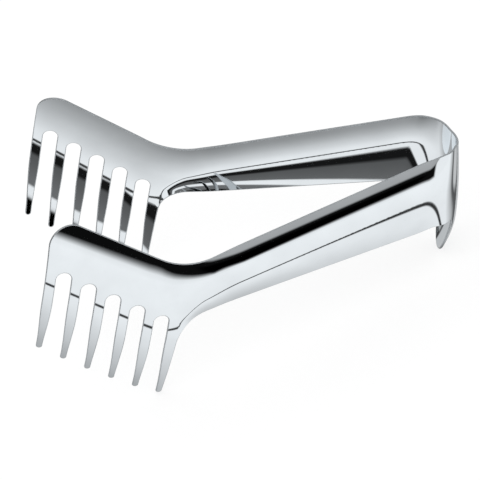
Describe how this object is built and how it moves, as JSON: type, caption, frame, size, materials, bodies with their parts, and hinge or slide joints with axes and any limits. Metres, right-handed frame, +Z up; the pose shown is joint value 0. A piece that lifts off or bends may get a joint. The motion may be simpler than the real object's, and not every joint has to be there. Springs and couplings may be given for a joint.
{
  "type": "spaghetti tongs",
  "caption": "One-piece sprung spaghetti tongs of polished steel sheet: two shallow channel-shaped arms from a rounded bow, each ending in an angled comb of long teeth.",
  "frame": {"origin": "middle of the tongs' bounding box on the surface that they stand on", "axes": "+X from the combs to the bow, +Y from the left arm to the right arm, +Z up"},
  "size_m": [0.2126, 0.1094, 0.1137],
  "materials": {
    "polished_steel": "mirror-polished stainless steel sheet"
  },
  "bodies": {
    "bow": {"spring_bow": "polished_steel"},
    "left": {"left_arm": "polished_steel"},
    "right": {"right_arm": "polished_steel"}
  },
  "joints": [
    {"name": "right_arm_squeeze", "type": "hinge", "parent": "bow", "child": "right", "pos_m": [0.08832, 0.00714, 0.03046], "axis": [0.4195, 0, 0.9078], "range_deg": [0, 14], "stiffness_Nm_per_rad": 4},
    {"name": "left_arm_squeeze", "type": "hinge", "parent": "bow", "child": "left", "pos_m": [0.08832, -0.00714, 0.03046], "axis": [-0.4195, 0, -0.9078], "range_deg": [0, 14], "stiffness_Nm_per_rad": 4}
  ],
  "couplings": [
    {"joint": "left_arm_squeeze", "follows": "right_arm_squeeze", "ratio": 1}
  ]
}
